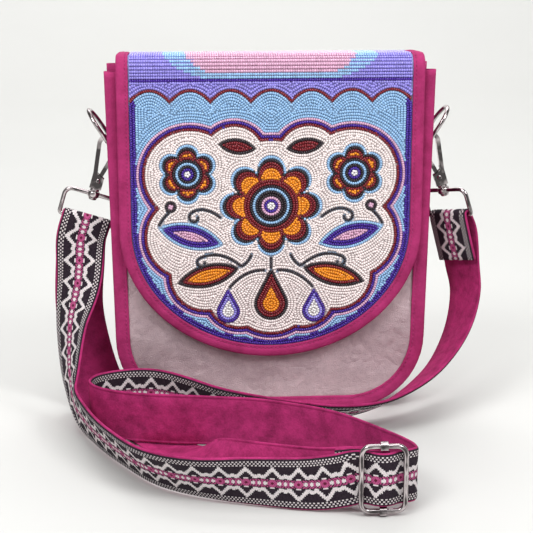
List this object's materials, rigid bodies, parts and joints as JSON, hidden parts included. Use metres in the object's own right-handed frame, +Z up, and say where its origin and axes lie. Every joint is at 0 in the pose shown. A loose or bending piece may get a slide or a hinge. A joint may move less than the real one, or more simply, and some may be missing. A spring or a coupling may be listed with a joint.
{
  "type": "beaded crossbody bag",
  "caption": "Flat upright crossbody bag with a bead-embroidered flap, bound leather seams, swivel hooks on side rings and a woven adjustable strap.",
  "frame": {"origin": "middle of the bag's body at the surface it stands on", "axes": "+X to the bag's right as seen from the front, +Y to its back, +Z up"},
  "size_m": [0.3315, 0.2578, 0.2805],
  "materials": {
    "white_leather": "fine grain, off-white",
    "magenta_suede": "soft matt suede",
    "lining": "plain weave",
    "nickel": "polished nickel plate",
    "webbing": "jacquard weave, white and pink on black",
    "beads_cream": "opaque glass seed beads",
    "beads_blue": "opaque glass seed beads",
    "beads_violet": "opaque glass seed beads",
    "beads_periwinkle": "opaque glass seed beads",
    "beads_maroon": "opaque glass seed beads",
    "beads_orange": "opaque glass seed beads",
    "beads_mauve": "opaque glass seed beads"
  },
  "bodies": {
    "bag_body": {"front_panel": "white_leather", "back_panel": "white_leather", "gusset": "magenta_suede", "front_binding": "magenta_suede", "back_binding": "magenta_suede", "front_top_binding": "magenta_suede", "lining_pouch": "lining", "snap_socket": "nickel", "ring_tab_left": "magenta_suede", "ring_tab_right": "magenta_suede", "hook_left": "nickel", "hook_right": "nickel", "gate_rivet_left": "nickel", "gate_rivet_right": "nickel", "swivel_post_left": "nickel", "swivel_post_right": "nickel", "slider_bar": "nickel", "strap_suede": "magenta_suede", "strap_webbing": "webbing"},
    "flap": {"flap_leather": "magenta_suede", "flap_binding": "magenta_suede", "snap_stud": "nickel", "bead_rosette": "beads_orange", "bead_rosette_eye": "beads_violet", "bead_centre_drop": "beads_maroon", "bead_flower_left": "beads_maroon", "bead_flower_right": "beads_maroon", "bead_flower_eye_left": "beads_orange", "bead_flower_eye_right": "beads_orange", "bead_drop_left": "beads_orange", "bead_drop_right": "beads_orange", "bead_berry_left": "beads_mauve", "bead_berry_right": "beads_mauve", "bead_leaf_upper_left": "beads_violet", "bead_leaf_upper_right": "beads_violet", "bead_leaf_middle_left": "beads_violet", "bead_leaf_middle_right": "beads_violet", "bead_leaf_lower_left": "beads_violet", "bead_leaf_lower_right": "beads_violet", "bead_top_band": "beads_periwinkle", "bead_outer_field": "beads_blue", "bead_outline": "beads_violet", "bead_ground": "beads_cream"},
    "d_ring_left": {"d_ring_left": "nickel"},
    "d_ring_right": {"d_ring_right": "nickel"},
    "gate_left": {"hook_gate_left": "nickel"},
    "gate_right": {"hook_gate_right": "nickel"},
    "loop_left": {"strap_loop_left": "nickel"},
    "loop_right": {"strap_loop_right": "nickel"},
    "slider": {"slider_frame": "nickel"}
  },
  "joints": [
    {"name": "flap_hinge", "type": "hinge", "parent": "bag_body", "child": "flap", "pos_m": [0, 0.02595, 0.274], "axis": [-1, 0, 0], "range_deg": [0, 150]},
    {"name": "d_ring_left_swing", "type": "hinge", "parent": "bag_body", "child": "d_ring_left", "pos_m": [-0.1225, 0.00285, 0.213], "axis": [0, -1, 0], "range_deg": [-35, 75]},
    {"name": "d_ring_right_swing", "type": "hinge", "parent": "bag_body", "child": "d_ring_right", "pos_m": [0.1225, 0.00285, 0.213], "axis": [0, 1, 0], "range_deg": [-35, 75]},
    {"name": "gate_left_spring", "type": "hinge", "parent": "bag_body", "child": "gate_left", "pos_m": [-0.13114, -0.00465, 0.1827], "axis": [0, -1, 0], "range_deg": [0, 16], "stiffness_Nm_per_rad": 0.02, "springref_deg": -11.46},
    {"name": "gate_right_spring", "type": "hinge", "parent": "bag_body", "child": "gate_right", "pos_m": [0.13114, -0.00465, 0.1827], "axis": [0, 1, 0], "range_deg": [0, 16], "stiffness_Nm_per_rad": 0.02, "springref_deg": -11.46},
    {"name": "loop_left_swivel", "type": "hinge", "parent": "bag_body", "child": "loop_left", "pos_m": [-0.1225, -0.00465, 0.213], "axis": [0.2924, 0, 0.9563], "range_deg": [-15, 90], "deforming": ["strap_suede", "strap_webbing"]},
    {"name": "loop_right_swivel", "type": "hinge", "parent": "bag_body", "child": "loop_right", "pos_m": [0.1225, -0.00465, 0.213], "axis": [-0.2924, 0, 0.9563], "range_deg": [-40, 60], "deforming": ["strap_suede", "strap_webbing"]},
    {"name": "slider_shift", "type": "slide", "parent": "bag_body", "child": "slider", "axis": [1, 0, 0], "range_m": [-0.003, 0.003], "deforming": ["strap_suede", "strap_webbing"]}
  ]
}
